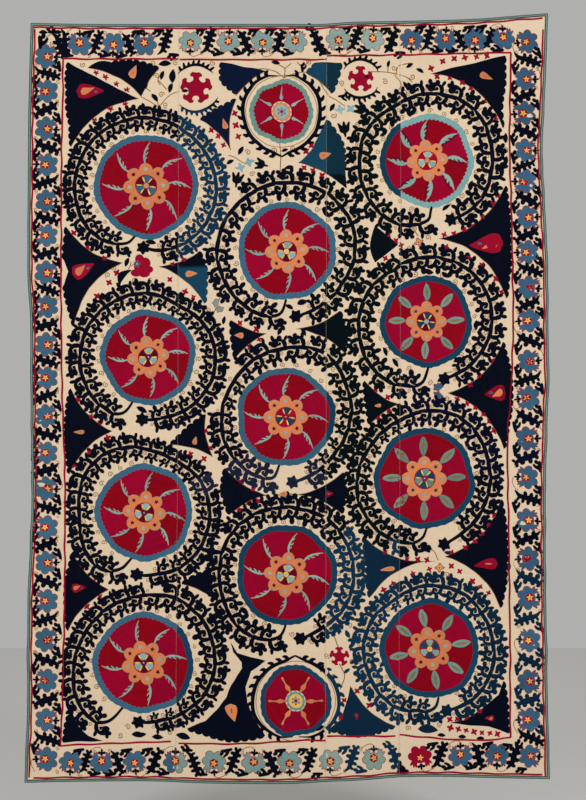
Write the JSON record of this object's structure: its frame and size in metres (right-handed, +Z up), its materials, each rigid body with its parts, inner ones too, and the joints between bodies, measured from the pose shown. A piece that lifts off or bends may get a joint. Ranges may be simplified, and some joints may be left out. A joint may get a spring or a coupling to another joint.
{
  "type": "suzani embroidered textile",
  "caption": "Hanging cotton cloth of joined loom widths, silk-embroidered with roundels, leafy vines and dark fields in a flower border, edged with woven braid.",
  "frame": {"origin": "middle of the top edge, by which the cloth hangs", "axes": "+Z up along the cloth's height, +X across to the viewer's right, embroidered front towards -Y"},
  "size_m": [1.7343, 0.0246, 2.543],
  "materials": {
    "cotton_ground": "handwoven undyed cotton",
    "braid_weave": "narrow woven braid, striped along its length",
    "silk_navy": "laid silk, soft sheen",
    "silk_teal_navy": "laid silk, soft sheen",
    "silk_crimson": "laid silk, soft sheen",
    "silk_red": "laid silk, soft sheen",
    "silk_plum": "laid silk, soft sheen",
    "silk_orange": "laid silk, soft sheen",
    "silk_yellow": "laid silk, soft sheen",
    "silk_steel_blue": "laid silk, soft sheen",
    "silk_ring_blue": "laid silk, soft sheen",
    "silk_grey_teal": "laid silk, soft sheen",
    "silk_gold_brown": "chain-stitched silk",
    "sewing_thread": "spun cotton thread"
  },
  "bodies": {
    "root": {"panel_left": "cotton_ground", "panel_middle": "cotton_ground", "panel_half": "cotton_ground", "panel_right": "cotton_ground", "braid_left": "braid_weave", "braid_right": "braid_weave", "braid_top": "braid_weave", "braid_bottom": "braid_weave"}
  },
  "joints": []
}
